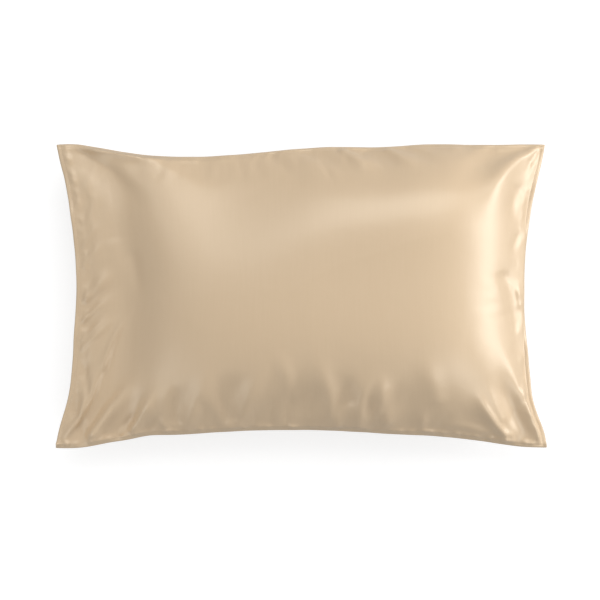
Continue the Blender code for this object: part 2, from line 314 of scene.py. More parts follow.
@dataclass
class Filling:
    """Heights that the pillow gives the two panels, as shoulders in from each seam.

    A shoulder's rows give the share of the crown, or of the belly, that the panel has
    reached at a distance in from that side.
    """

    corner_height: float = 0.0515
    side_lift: float = 0.015
    crown: float = 0.101
    belly: float = 0.086
    settle: float = 0.014
    left: tuple[Row, ...] = (
        Row(0.0, 0.0),
        Row(0.012, 0.035),
        Row(0.035, 0.065),
        Row(0.066, 0.115),
        Row(0.092, 0.30),
        Row(0.125, 0.59),
        Row(0.165, 0.80),
        Row(0.215, 0.92),
        Row(0.280, 0.98),
        Row(0.350, 1.0),
    )
    right: tuple[Row, ...] = (
        Row(0.0, 0.0),
        Row(0.014, 0.15),
        Row(0.040, 0.44),
        Row(0.075, 0.69),
        Row(0.115, 0.85),
        Row(0.170, 0.945),
        Row(0.240, 0.985),
        Row(0.320, 1.0),
    )
    lower: tuple[Row, ...] = (
        Row(0.0, 0.0),
        Row(0.016, 0.20),
        Row(0.040, 0.46),
        Row(0.072, 0.71),
        Row(0.108, 0.88),
        Row(0.150, 0.97),
        Row(0.210, 1.0),
    )
    upper: tuple[Row, ...] = (
        Row(0.0, 0.0),
        Row(0.018, 0.21),
        Row(0.045, 0.46),
        Row(0.078, 0.69),
        Row(0.115, 0.86),
        Row(0.155, 0.955),
        Row(0.210, 1.0),
    )
    under: tuple[Row, ...] = (
        Row(0.0, 0.0),
        Row(0.014, 0.20),
        Row(0.040, 0.48),
        Row(0.080, 0.75),
        Row(0.130, 0.93),
        Row(0.200, 1.0),
    )
    upper_reach: tuple[Row, ...] = (
        Row(-0.370, 1.00),
        Row(-0.280, 0.98),
        Row(-0.200, 1.06),
        Row(-0.120, 1.24),
        Row(-0.040, 1.08),
        Row(0.030, 0.90),
        Row(0.120, 0.75),
        Row(0.200, 0.66),
        Row(0.280, 0.62),
        Row(0.370, 0.68),
    )
    swells: tuple[Swell, ...] = (
        Swell(Place(0.170, 0.125), 0.150, 0.075, 0.006),
        Swell(Place(-0.120, 0.120), 0.150, 0.085, -0.005),
        Swell(Place(0.095, -0.162), 0.060, 0.030, 0.013),
        Swell(Place(-0.232, -0.162), 0.060, 0.030, 0.013),
        Swell(Place(-0.262, 0.118), 0.036, 0.050, 0.009),
        Swell(Place(-0.298, 0.140), 0.032, 0.055, 0.009),
        Swell(Place(-0.285, -0.168), 0.034, 0.030, 0.008),
        Swell(Place(-0.274, -0.096), 0.030, 0.056, 0.010),
    )

    def seam(self, along: np.ndarray, across: np.ndarray) -> np.ndarray:
        """Find the height of the seam, carried evenly in over the panels between the sides.

        Args:
            along: share of the way from the left side to the right.
            across: share of the way from the lower side to the upper.

        Returns:
            The height over the floor.
        """
        bow_along = 1.0 - (2.0 * along - 1.0) ** 2
        bow_across = 1.0 - (2.0 * across - 1.0) ** 2
        return self.corner_height + self.side_lift * (
            bow_along + bow_across - bow_along * bow_across
        )

    def loft(self, x: np.ndarray, inset: dict[Side, np.ndarray]) -> np.ndarray:
        """Find the rise of the top panel over the seam, fuller towards the upper right.

        Args:
            x: places along the case.
            inset: distance in from each side.

        Returns:
            The rise.
        """
        upper = inset[Side.UPPER] / through(self.upper_reach, x)
        ends = through(self.left, inset[Side.LEFT]) * through(self.right, inset[Side.RIGHT])
        sides = through(self.lower, inset[Side.LOWER]) * through(self.upper, upper)
        return self.crown * ends * sides

    def top_height(self, outline: Outline, x: float, y: float) -> float:
        """Find the height of the smooth top panel over one place of the plan.

        Args:
            outline: plan of the case.
            x: place along the case.
            y: place across the case.

        Returns:
            The height over the floor.
        """
        left, right = outline.lower_left, outline.lower_right
        along = np.array([np.clip((x - left.x) / (right.x - left.x), 0.0, 1.0)])
        across = np.array([np.clip((y - left.y) / (outline.upper_left.y - left.y), 0.0, 1.0)])
        edge = outline.edges(along, across)
        inset = {
            Side.LEFT: np.maximum(x - edge[Side.LEFT], 0.0),
            Side.RIGHT: np.maximum(edge[Side.RIGHT] - x, 0.0),
            Side.LOWER: np.maximum(y - edge[Side.LOWER], 0.0),
            Side.UPPER: np.maximum(edge[Side.UPPER] - y, 0.0),
        }
        return float((self.seam(along, across) + self.loft(np.array([x]), inset))[0])

    def depth(self, inset: dict[Side, np.ndarray]) -> np.ndarray:
        """Find the drop of the bottom panel under the seam, before it meets the floor.

        Args:
            inset: distance in from each side.

        Returns:
            The drop.
        """
        share = np.ones_like(inset[Side.LEFT])
        for side in Side:
            share = share * through(self.under, inset[side])
        return self.belly * share

    def swell(self, x: np.ndarray, y: np.ndarray) -> np.ndarray:
        """Add up the broad rises and dips of the filling.

        Args:
            x: places along the case.
            y: places across the case.

        Returns:
            Height to add.
        """
        total = np.zeros_like(x)
        for swell in self.swells:
            off_x = (x - swell.centre.x) / swell.reach_x
            off_y = (y - swell.centre.y) / swell.reach_y
            total += swell.lift * np.exp(-(off_x**2) - off_y**2)
        return total

    def laid_down(self, height: np.ndarray) -> np.ndarray:
        """Lay the bottom panel on the floor: flat where it would reach below it.

        Args:
            height: heights over the floor that the filling alone would give.

        Returns:
            The heights, eased into the floor.
        """
        eased = (height + self.settle) ** 2 / (4.0 * self.settle)
        lifted = np.where(height < self.settle, eased, height)
        return np.where(height < -self.settle, 0.0, lifted)


@dataclass(frozen=True)
class OverheadView:
    """The camera's view straight down on the case, and the plan places of its spots.

    The frame is taken to be 600 spots wide. A spot falls on the level of the seam first,
    and is then drawn in towards the camera's foot by the height of the case there.
    """

    lens: float = 85.0
    sensor: float = 36.0
    width: float = 0.9034
    seam_level: float = 0.060
    foot: Place = Place(-0.003, -0.0063)
    spot_size: float = 0.0015056
    origin: Spot = Spot(301.3, 296.5)
    drawing_in: int = 6
    decimals: int = 3

    @property
    def rise(self) -> float:
        """Height of the camera over the level of the seam."""
        return self.width * self.lens / self.sensor

    def place(self, spot: Spot, outline: Outline, filling: Filling) -> Place:
        """Find the place of the plan over which a spot shows, to the millimetre.

        Args:
            spot: the spot of the frame.
            outline: plan of the case.
            filling: heights of the case.

        Returns:
            The place.
        """
        level_x = (spot.across - self.origin.across) * self.spot_size
        level_y = (self.origin.down - spot.down) * self.spot_size
        x, y = level_x, level_y
        for _ in range(self.drawing_in):
            over = filling.top_height(outline, x, y) - self.seam_level
            share = (self.rise - over) / self.rise
            x = mix(self.foot.x, level_x, share)
            y = mix(self.foot.y, level_y, share)
        return Place(round(x, self.decimals), round(y, self.decimals))

    def folds(
        self, creases: tuple[Crease, ...], outline: Outline, filling: Filling
    ) -> tuple[Fold, ...]:
        """Lay creases that are given in the frame out on the plan.

        Args:
            creases: the creases, with their lines in spots of the frame.
            outline: plan of the case.
            filling: heights of the case.

        Returns:
            The folds, with their lines in places of the plan.
        """
        laid = []
        for crease in creases:
            line = [self.place(spot, outline, filling) for spot in crease[:3]]
            laid.append(Fold(*line, *crease[3:]))
        return tuple(laid)


@dataclass
class Folds:
    """Main creases of one panel, side by side, each as a soft ridge or trough."""

    rows: tuple[Fold, ...]
    start_share: float = 0.25
    swell_in: float = 0.22
    fade_out: float = 0.62
    trough_share: float = 0.8
    least_room: float = 0.000001
    far: float = 3.4
    path_steps: int = 17
    closer_steps: int = 4
    least_curve: float = 0.2

    def nearest(self, x: np.ndarray, y: np.ndarray, fold: Fold) -> tuple[np.ndarray, np.ndarray]:
        """Find the nearest point of a fold's line to each place.

        The best of a few even points comes first, and is then drawn closer.

        Args:
            x: places along the case.
            y: places across the case.
            fold: the fold whose line is searched.

        Returns:
            Share along the line, and signed distance from it, above 0 on its left.
        """
        share = np.linspace(0.0, 1.0, self.path_steps)
        path_x, path_y = fold.point(share)
        gap = (x[:, None] - path_x) ** 2 + (y[:, None] - path_y) ** 2
        best = share[np.argmin(gap, axis=1)]
        turn_x = fold.start.x - 2.0 * fold.bend.x + fold.end.x
        turn_y = fold.start.y - 2.0 * fold.bend.y + fold.end.y
        for _ in range(self.closer_steps):
            at_x, at_y = fold.point(best)
            run_x, run_y = fold.run(best)
            off_x, off_y = x - at_x, y - at_y
            slope = -(off_x * run_x + off_y * run_y)
            curve = run_x**2 + run_y**2 - 2.0 * (off_x * turn_x + off_y * turn_y)
            curve = np.maximum(curve, self.least_curve * (run_x**2 + run_y**2))
            best = np.clip(best - slope / curve, 0.0, 1.0)
        at_x, at_y = fold.point(best)
        run_x, run_y = fold.run(best)
        side = np.sign(run_x * (y - at_y) - run_y * (x - at_x))
        return best, side * np.hypot(x - at_x, y - at_y)

    def lift_of(self, x: np.ndarray, y: np.ndarray, fold: Fold) -> np.ndarray:
        """Find the height that one fold adds.

        Args:
            x: places along the case.
            y: places across the case.
            fold: the fold.

        Returns:
            Height at each place, 0 where the fold is far off.
        """
        margin = self.far * max(fold.start_width, fold.end_width)
        low_x = min(fold.start.x, fold.bend.x, fold.end.x) - margin
        high_x = max(fold.start.x, fold.bend.x, fold.end.x) + margin
        low_y = min(fold.start.y, fold.bend.y, fold.end.y) - margin
        high_y = max(fold.start.y, fold.bend.y, fold.end.y) + margin
        near = (x > low_x) & (x < high_x) & (y > low_y) & (y < high_y)
        lift = np.zeros_like(x)
        share, off = self.nearest(x[near], y[near], fold)
        width = mix(fold.start_width, fold.end_width, share)
        width = width * (1.0 + fold.lean * np.tanh(off / width))
        fade = ease(share / self.swell_in + self.start_share) * ease((1.0 - share) / self.fade_out)
        lift[near] = fold.lift * fade * np.exp(-((off / width) ** 2))
        return lift

    def relief(self, x: np.ndarray, y: np.ndarray, room: np.ndarray) -> np.ndarray:
        """Add up the folds of a panel.

        Args:
            x: places along the case.
            y: places across the case.
            room: filling under the panel, of which a trough takes only a share.

        Returns:
            Height to add, outwards.
        """
        total = np.zeros_like(x)
        for fold in self.rows:
            total += self.lift_of(x, y, fold)
        dip = np.maximum(-total, 0.0)
        limit = self.trough_share * room + self.least_room
        return np.maximum(total, 0.0) - dip * limit / (dip + limit)


@dataclass
class SeamGathers:
    """Small puckers that the sewing draws along one side, uneven in place and size.

    A pucker fades inwards over its reach and opens as it goes. A bead is a short bulge of it,
    just inside the stitching. The shares are the least and the most of each, at random.
    """

    side: Side
    pitch: float
    lift: float
    reach: float
    seed: int
    bead: float = 0.0
    end_strength: float = 1.0
    rise_in: float = 0.0035
    stray: float = 0.32
    bead_in: float = 0.0066
    bead_width: float = 0.0034
    far: float = 4.0
    width_shares: tuple[float, float] = (0.16, 0.34)
    lift_shares: tuple[float, float] = (0.25, 1.0)
    reach_shares: tuple[float, float] = (0.5, 1.2)
    bead_shares: tuple[float, float] = (0.4, 1.0)
    slant: float = 0.5
    opening: float = 0.8

    def relief(self, place: np.ndarray, inset: np.ndarray) -> np.ndarray:
        """Height of the puckers.

        Args:
            place: distance along the side.
            inset: distance in from the side.

        Returns:
            Height to add, outwards.
        """
        random = np.random.default_rng(self.seed)
        total = np.zeros_like(place)
        near = inset < self.far * self.reach
        along = place[near]
        inward = inset[near]
        half = 0.5 * (place.max() - place.min())
        centre = 0.5 * (place.max() + place.min())
        roll = np.exp(-(((inward - self.bead_in) / self.bead_width) ** 2))
        for middle in np.arange(place.min(), place.max(), self.pitch):
            middle += random.uniform(-self.stray, self.stray) * self.pitch
            width = self.pitch * random.uniform(*self.width_shares)
            lift = self.lift * random.uniform(*self.lift_shares)
            reach = self.reach * random.uniform(*self.reach_shares)
            slant = random.uniform(-self.slant, self.slant)
            strength = mix(1.0, self.end_strength, ((middle - centre) / half) ** 2)
            spread = width * (1.0 + self.opening * inward / reach)
            line = np.exp(-(((along - middle - slant * inward) / spread) ** 2))
            bead = self.bead * random.uniform(*self.bead_shares) * roll
            total[near] += strength * line * (lift * np.exp(-inward / reach) + bead)
        return total * ease(inset / self.rise_in)


@dataclass
class Hem:
    """The narrow stitched flange of the short sides, and the rolled edge of the long ones.

    The tilts are in degrees, at places across the case. The profiles are shares of the
    cloth's half thickness, at distances in from the outer edge.
    """

    width: float = 0.0065
    least: float = 0.0001
    half_thick: float = 0.0012
    thinnest: float = 0.2
    stitch_line: float = 0.0054
    flatten_in: float = 0.004
    pull_in: float = 0.060
    left_tilt: tuple[Row, ...] = (
        Row(-0.228, 14.0),
        Row(-0.150, 22.0),
        Row(-0.060, 12.0),
        Row(0.030, 26.0),
        Row(0.120, 14.0),
        Row(0.226, 16.0),
    )
    right_tilt: tuple[Row, ...] = (
        Row(-0.228, 14.0),
        Row(-0.150, 12.0),
        Row(-0.090, 18.0),
        Row(-0.050, 48.0),
        Row(-0.015, 72.0),
        Row(0.050, 76.0),
        Row(0.090, 62.0),
        Row(0.112, 24.0),
        Row(0.150, 10.0),
        Row(0.224, 12.0),
    )
    flange_profile: tuple[Row, ...] = (
        Row(0.0, 0.55),
        Row(0.0010, 1.05),
        Row(0.0025, 1.0),
        Row(0.0044, 0.95),
        Row(0.0054, 0.62),
        Row(0.0066, 0.95),
        Row(0.0090, 1.0),
    )
    roll_profile: tuple[Row, ...] = (
        Row(0.0, 0.55),
        Row(0.0010, 1.15),
        Row(0.0021, 1.05),
        Row(0.0032, 0.40),
        Row(0.0045, 0.80),
        Row(0.0075, 1.0),
    )

    def tilt(self, side: Side, y: np.ndarray) -> np.ndarray:
        """Angle by which the flange turns down along one short side, in radians."""
        rows = self.left_tilt if side is Side.LEFT else self.right_tilt
        return np.radians(through(rows, y))

    def half(self, inset: dict[Side, np.ndarray]) -> np.ndarray:
        """Find half of the thickness of the sewn cloth, pinched at the stitching.

        Args:
            inset: distance in from each outer edge.

        Returns:
            The half thickness.
        """
        share = np.ones_like(inset[Side.LEFT])
        for side in (Side.LEFT, Side.RIGHT):
            share = share * through(self.flange_profile, inset[side])
        for side in (Side.LOWER, Side.UPPER):
            share = share * through(self.roll_profile, inset[side])
        return self.half_thick * np.maximum(share, self.thinnest)


@dataclass
class ClothTrial:
    """The smooth case run as cloth under the filling's pressure, for its small creases.

    The cloth is cut a little larger than the filling. Seam and floor contact hold still.
    Of each point's movement only the fine part is kept, softly capped, and only near the
    sides, where the cloth is slack.
    """

    cell: float = 0.006
    frames: int = 12
    quality: int = 5
    pressure: float = 8.0
    mass: float = 0.3
    spare_cloth: float = 0.02
    stretch: float = 8.0
    shear: float = 1.0
    bending: float = 0.02
    damping: float = 2.0
    contact: float = 0.0005
    soft_cells: float = 0.9
    broad_cells: float = 6.0
    most: float = 0.004
    gain_along: tuple[Row, ...] = (
        Row(-0.380, 1.0),
        Row(-0.150, 1.15),
        Row(0.150, 1.15),
        Row(0.270, 0.55),
        Row(0.380, 0.40),
    )
    gain_across: tuple[Row, ...] = (
        Row(-0.240, 1.15),
        Row(-0.100, 1.0),
        Row(0.100, 0.70),
        Row(0.240, 0.45),
    )
    calm_at: float = 0.012
    slack_to: float = 0.045
    slack_fade: float = 0.060
    upper_tightness: float = 2.0
    least_length: float = 1e-9

    def count(self, length: float) -> int:
        """Number of cells along a length."""
        return round(length / self.cell)

    def solver(self, case: bpy.types.Object) -> None:
        """Add the cloth settings to the plain case.

        Args:
            case: the case, with its vertex group of points that hold still.
        """
        cloth = case.modifiers.new("cloth_trial", "CLOTH")
        settings = cloth.settings
        settings.quality = self.quality
        settings.mass = self.mass
        settings.tension_stiffness = self.stretch
        settings.compression_stiffness = self.stretch
        settings.shear_stiffness = self.shear
        settings.bending_stiffness = self.bending
        settings.shrink_min = -self.spare_cloth
        settings.tension_damping = self.damping
        settings.compression_damping = self.damping
        settings.shear_damping = self.damping
        settings.use_pressure = True
        settings.uniform_pressure_force = self.pressure
        settings.effector_weights.gravity = 0.0
        settings.vertex_group_mass = "held"
        cloth.point_cache.frame_start = 1
        cloth.point_cache.frame_end = self.frames

    def run(self, top: np.ndarray, low: np.ndarray) -> tuple[np.ndarray, np.ndarray]:
        """Run the trial on two even grids that share their rim.

        Args:
            top: points of the top panel.
            low: points of the bottom panel.

        Returns:
            Movement of every point of both panels.
        """
        columns, rows = top.shape[:2]
        upper = np.arange(columns * rows).reshape(columns, rows)
        inner = np.arange((columns - 2) * (rows - 2)).reshape(columns - 2, rows - 2)
        lower = upper.copy()
        lower[1:-1, 1:-1] = upper.size + inner
        start = np.concatenate((top.reshape(-1, 3), low[1:-1, 1:-1].reshape(-1, 3)))
        faces = np.concatenate((grid_quads(upper), grid_quads(lower)[:, ::-1]))
        mesh = bpy.data.meshes.new("plain_case")
        mesh.from_pydata(start.tolist(), [], faces.tolist())
        case = bpy.data.objects.new("plain_case", mesh)
        bpy.context.scene.collection.objects.link(case)
        floor = lower[1:-1, 1:-1][low[1:-1, 1:-1, 2] < self.contact]
        rim = np.concatenate((upper[0], upper[-1], upper[1:-1, 0], upper[1:-1, -1]))
        held = case.vertex_groups.new(name="held")
        held.add(np.concatenate((rim, floor)).tolist(), 1.0, "REPLACE")
        self.solver(case)
        scene = bpy.context.scene
        for step in range(1, self.frames + 1):
            scene.frame_set(step)
        graph = bpy.context.evaluated_depsgraph_get()
        settled = bpy.data.meshes.new_from_object(case.evaluated_get(graph), depsgraph=graph)
        ended = np.zeros(3 * len(start), dtype=np.float32)
        settled.vertices.foreach_get("co", ended)
        bpy.data.objects.remove(case)
        bpy.data.meshes.remove(mesh)
        bpy.data.meshes.remove(settled)
        scene.frame_set(1)
        moved = ended.reshape(-1, 3) - start
        return moved[upper], moved[lower]

    def fine(
        self, moved: np.ndarray, x: np.ndarray, y: np.ndarray, outer: dict[Side, np.ndarray]
    ) -> np.ndarray:
        """Keep the fine part of a panel's movement, capped, in the slack cloth by the sides.

        Args:
            moved: movement of every grid point.
            x: places along the case.
            y: places across the case.
            outer: distance of every grid point from each side.

        Returns:
            Movement to add.
        """
        soft, broad = (
            weighted(*(self.spread(size, cells) for size in x.shape), moved)
            for cells in (self.soft_cells, self.broad_cells)
        )
        kept = soft - broad
        length = np.linalg.norm(kept, axis=-1, keepdims=True) + self.least_length
        kept = kept * self.most * np.tanh(length / self.most) / length
        nearest = np.minimum.reduce([outer[side] for side in Side])
        tight = dict(outer)
        tight[Side.UPPER] = outer[Side.UPPER] * self.upper_tightness
        inward = np.minimum.reduce([tight[side] for side in Side])
        slack = ease((self.slack_to + self.slack_fade - inward) / self.slack_fade)
        gain = through(self.gain_along, x) * through(self.gain_across, y)
        return kept * (gain * slack * ease(nearest / self.calm_at))[..., None]

    @staticmethod
    def spread(count: int, cells: float) -> np.ndarray:
        """Find the weights that smooth a row of points.

        Args:
            count: number of points in the row.
            cells: how many cells each point is smoothed over.

        Returns:
            One row of weights for each point.
        """
        step = np.arange(count)
        weight = np.exp(-(((step[:, None] - step[None]) / cells) ** 2))
        return weight / weight.sum(axis=1, keepdims=True)

    @staticmethod
    def carry(shares: np.ndarray, count: int) -> np.ndarray:
        """Find the weights that carry a row of even points smoothly to other shares.

        Each share takes its four nearest points, weighted by a smooth cubic through them
        (Catmull-Rom).

        Args:
            shares: shares of the way along the row.
            count: number of even points in the row.

        Returns:
            One row of weights for each share.
        """
        place = shares * (count - 1)
        first = np.clip(np.floor(place).astype(int), 0, count - 2)
        part = place - first
        weights = np.zeros((len(shares), count))
        row = np.arange(len(shares))
        cubic = (
            0.5 * part * (part * (2.0 - part) - 1.0),
            0.5 * (part**2 * (3.0 * part - 5.0) + 2.0),
            0.5 * part * (part * (4.0 - 3.0 * part) + 1.0),
            0.5 * part**2 * (part - 1.0),
        )
        for step, weight in enumerate(cubic):
            np.add.at(weights, (row, np.clip(first + step - 1, 0, count - 1)), weight)
        return weights


@dataclass
class FilledCase:
    """The sewn case on its pillow: plan, panels, hem and folds, as one closed mesh.

    The rim holds the distances in from each side at which the first grid lines stand, close
    enough together for the hem. Farther in the lines are a cell apart.
    """

    outline: Outline
    filling: Filling
    hem: Hem
    top_folds: Folds
    under_folds: Folds
    top_gathers: tuple[SeamGathers, ...]
    under_gathers: tuple[SeamGathers, ...]
    trial: ClothTrial
    flat_length: float = 0.762
    flat_width: float = 0.508
    cell: float = 0.0030
    rim: tuple[float, ...] = (
        0.0,
        0.0010,
        0.0021,
        0.0032,
        0.0044,
        0.0054,
        0.0066,
        0.0082,
        0.0102,
        0.0126,
        0.0153,
    )
    rim_fade: float = 0.008
    rim_share: float = 0.15
    rim_hold: float = 0.35
    edge_bulge: float = 0.0007
    seam_wave: float = 0.0011
    long_wave: float = 0.083
    short_wave: float = 0.047
    short_share: float = 0.7
    wrinkles: tuple[np.ndarray, ...] = ()

    def lines(self, length: float) -> np.ndarray:
        """Find where the grid lines stand, close together at the rims.

        Args:
            length: distance from one side to the other.

        Returns:
            Shares of the way across.
        """
        near = np.array(self.rim) / length
        count = round((length - 2.0 * self.rim[-1]) / self.cell)
        middle = np.linspace(near[-1], 1.0 - near[-1], count + 1)
        return np.concatenate((near[:-1], middle, 1.0 - near[:-1][::-1]))

    def panels(self) -> tuple[np.ndarray, np.ndarray, np.ndarray]:
        """Work out both panels, with the small wrinkles of the cloth trial.

        Returns:
            Points of the top panel, points of the bottom panel, and the cloth's own
            flat coordinates, each as a grid.
        """
        long_line = self.lines(self.outline.upper_right.x - self.outline.upper_left.x)
        short_line = self.lines(self.outline.upper_right.y - self.outline.lower_right.y)
        along, across = np.meshgrid(long_line, short_line, indexing="ij")
        top, low, _ = self.shape(along, across)
        if self.wrinkles:
            columns, rows = self.wrinkles[0].shape[:2]
            onto = self.trial.carry(long_line, columns), self.trial.carry(short_line, rows)
            top = top + weighted(*onto, self.wrinkles[0])
            low = low + weighted(*onto, self.wrinkles[1])
        cloth = np.stack((along * self.flat_length, across * self.flat_width), axis=-1)
        return top, low, cloth

    def settle(self) -> None:
        """Run the cloth trial on an even grid of the smooth case, and keep its wrinkles."""
        columns = self.trial.count(self.outline.upper_right.x - self.outline.upper_left.x)
        rows = self.trial.count(self.outline.upper_right.y - self.outline.lower_right.y)
        shares = np.linspace(0.0, 1.0, columns + 1), np.linspace(0.0, 1.0, rows + 1)
        along, across = np.meshgrid(*shares, indexing="ij")
        smooth = replace(
            self,
            hem=replace(self.hem, half_thick=0.0, width=self.hem.least),
            top_folds=Folds(()),
            under_folds=Folds(()),
            top_gathers=(),
            under_gathers=(),
        )
        top, low, outer = smooth.shape(along, across)
        moved = self.trial.run(top, low)
        x, y = top[..., 0], top[..., 1]
        self.wrinkles = tuple(self.trial.fine(panel, x, y, outer) for panel in moved)

    def shape(
        self, along: np.ndarray, across: np.ndarray
    ) -> tuple[np.ndarray, np.ndarray, dict[Side, np.ndarray]]:
        """Shape both panels.

        Args:
            along: share of the way from the left side to the right.
            across: share of the way from the lower side to the upper.

        Returns:
            Points of the top panel, points of the bottom panel, and the distances from
            the sides.
        """
        edge = self.outline.edges(along, across)
        x = mix(edge[Side.LEFT], edge[Side.RIGHT], along)
        y = mix(edge[Side.LOWER], edge[Side.UPPER], across)
        outer = {
            Side.LEFT: x - edge[Side.LEFT],
            Side.RIGHT: edge[Side.RIGHT] - x,
            Side.LOWER: y - edge[Side.LOWER],
            Side.UPPER: edge[Side.UPPER] - y,
        }
        inset = dict(outer)
        inset[Side.LEFT] = np.maximum(outer[Side.LEFT] - self.hem.width, 0.0)
        inset[Side.RIGHT] = np.maximum(outer[Side.RIGHT] - self.hem.width, 0.0)
        seam = self.filling.seam(along, across) + self.wave(x, y, outer)
        top_x, top_z = self.panel(x, y, inset, outer, self.top_folds, self.top_gathers, 1.0)
        low_x, low_z = self.panel(x, y, inset, outer, self.under_folds, self.under_gathers, -1.0)
        top = np.stack((top_x, y, seam + top_z), axis=-1)
        low = np.stack((low_x, y, self.filling.laid_down(seam + low_z)), axis=-1)
        return top, low, outer

    def wave(self, x: np.ndarray, y: np.ndarray, outer: dict[Side, np.ndarray]) -> np.ndarray:
        """Find the slow rise and fall of the seam line, which fades in over the panels.

        Args:
            x: places along the case.
            y: places across the case.
            outer: distance in from each outer edge.

        Returns:
            Height to add to the seam.
        """
        nearest = np.minimum.reduce([outer[side] for side in Side])
        fade = np.exp(-nearest / self.rim[-1])
        long = np.sin(math.tau * (x + y) / self.long_wave)
        short = np.cos(math.tau * (x - y) / self.short_wave)
        return self.seam_wave * (long + self.short_share * short) * fade

    def panel(
        self,
        x: np.ndarray,
        y: np.ndarray,
        inset: dict[Side, np.ndarray],
        outer: dict[Side, np.ndarray],
        folds: Folds,
        gathers: tuple[SeamGathers, ...],
        way: float,
    ) -> tuple[np.ndarray, np.ndarray]:
        """Work out one panel over (way 1) or under (way -1) the seam.

        Args:
            x: plan places along the case.
            y: plan places across the case.
            inset: distance in from each stitch line.
            outer: distance in from each outer edge.
            folds: main creases of the panel.
            gathers: small puckers along its seams.
            way: 1 for the top panel, -1 for the bottom one.

        Returns:
            x with the hem turned, and height over the seam.
        """
        room = self.filling.loft(x, inset) if way > 0.0 else self.filling.depth(inset)
        nearest = np.minimum.reduce([inset[side] for side in Side])
        relief = folds.relief(x, y, room) * ease(nearest / self.rim_fade + self.rim_share)
        relief = relief * ease(nearest / (self.rim_hold * self.rim_fade))
        for gather in gathers:
            place = y if gather.side in (Side.LEFT, Side.RIGHT) else x
            relief = relief + gather.relief(place, inset[gather.side])
        if way > 0.0:
            relief = relief + self.filling.swell(x, y) * ease(room / self.filling.crown)
        half = self.hem.half(outer)
        height = way * (room + relief)
        lean = np.zeros_like(x)
        for side, out in ((Side.LEFT, -1.0), (Side.RIGHT, 1.0)):
            tilt = self.hem.tilt(side, y)
            past = np.maximum(self.hem.width - outer[side], 0.0)
            slack = self.hem.width * (1.0 - np.cos(tilt)) * out
            flange = outer[side] < self.hem.width
            carried = slack * np.exp(-inset[side] / self.hem.pull_in)
            x = x + np.where(flange, outer[side] / self.hem.width * slack, carried)
            height = height - past * np.sin(tilt)
            lean = lean + out * tilt * (1.0 - ease(inset[side] / self.hem.flatten_in))
        return x + way * half * np.sin(lean), height + way * half * np.cos(lean)

    def mesh(self) -> bpy.types.Mesh:
        """Join the two panels round the rim.

        Returns:
            One closed mesh, with the cloth's own map.
        """
        top, low, cloth = self.panels()
        columns, rows = top.shape[:2]
        offset = columns * rows
        index = np.arange(offset).reshape(columns, rows)
        quads = grid_quads(index)
        ring = np.concatenate(
            (index[:, 0], index[-1, 1:], index[-2::-1, -1], index[0, -2:0:-1])
        )
        points_top = top.reshape(-1, 3)
        points_low = low.reshape(-1, 3)
        after = np.roll(ring, -1)
        before = np.roll(ring, 1)
        run = points_top[after] - points_top[before]
        outward = np.stack((run[:, 1], -run[:, 0], np.zeros(len(ring))), axis=-1)
        outward /= np.linalg.norm(outward, axis=1, keepdims=True)
        middle = (points_top[ring] + points_low[ring]) / 2.0 + outward * self.edge_bulge
        first = 2 * offset + np.arange(len(ring))
        second = np.roll(first, -1)
        faces = np.concatenate(
            (
                quads,
                offset + quads[:, ::-1],
                np.stack((after, ring, first, second), axis=-1),
                np.stack((second, first, offset + ring, offset + after), axis=-1),
            )
        )
        points = np.concatenate((points_top, points_low, middle))
        flat = cloth.reshape(-1, 2)
        flat = np.concatenate((flat, flat, flat[ring]))
        mesh = bpy.data.meshes.new("filled_case")
        mesh.from_pydata(points.tolist(), [], faces.tolist())
        cloth_map = mesh.uv_layers.new(name=CLOTH_MAP)
        corners = np.zeros(len(mesh.loops), dtype=np.int32)
        mesh.loops.foreach_get("vertex_index", corners)
        cloth_map.data.foreach_set("uv", flat[corners].astype(np.float32).ravel())
        mesh.shade_smooth()
        mesh.update()
        return mesh

    def stitch_lines(self) -> list[np.ndarray]:
        """Find the four stitched lines.

        Returns:
            The two lines over the flanges of the short sides, then the two under them.
        """
        top, low, _ = self.panels()
        place = self.rim.index(self.hem.stitch_line)
        return [top[place], top[-1 - place], low[place], low[-1 - place]]

    def build(self, material: bpy.types.Material) -> bpy.types.Object:
        """Make the case and dress it.

        Args:
            material: the cloth's finish.

        Returns:
            The case as an object at the origin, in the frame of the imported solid.
        """
        mesh = self.mesh()
        mesh.materials.append(material)
        case = bpy.data.objects.new("satin_case", mesh)
        bpy.context.scene.collection.objects.link(case)
        return case


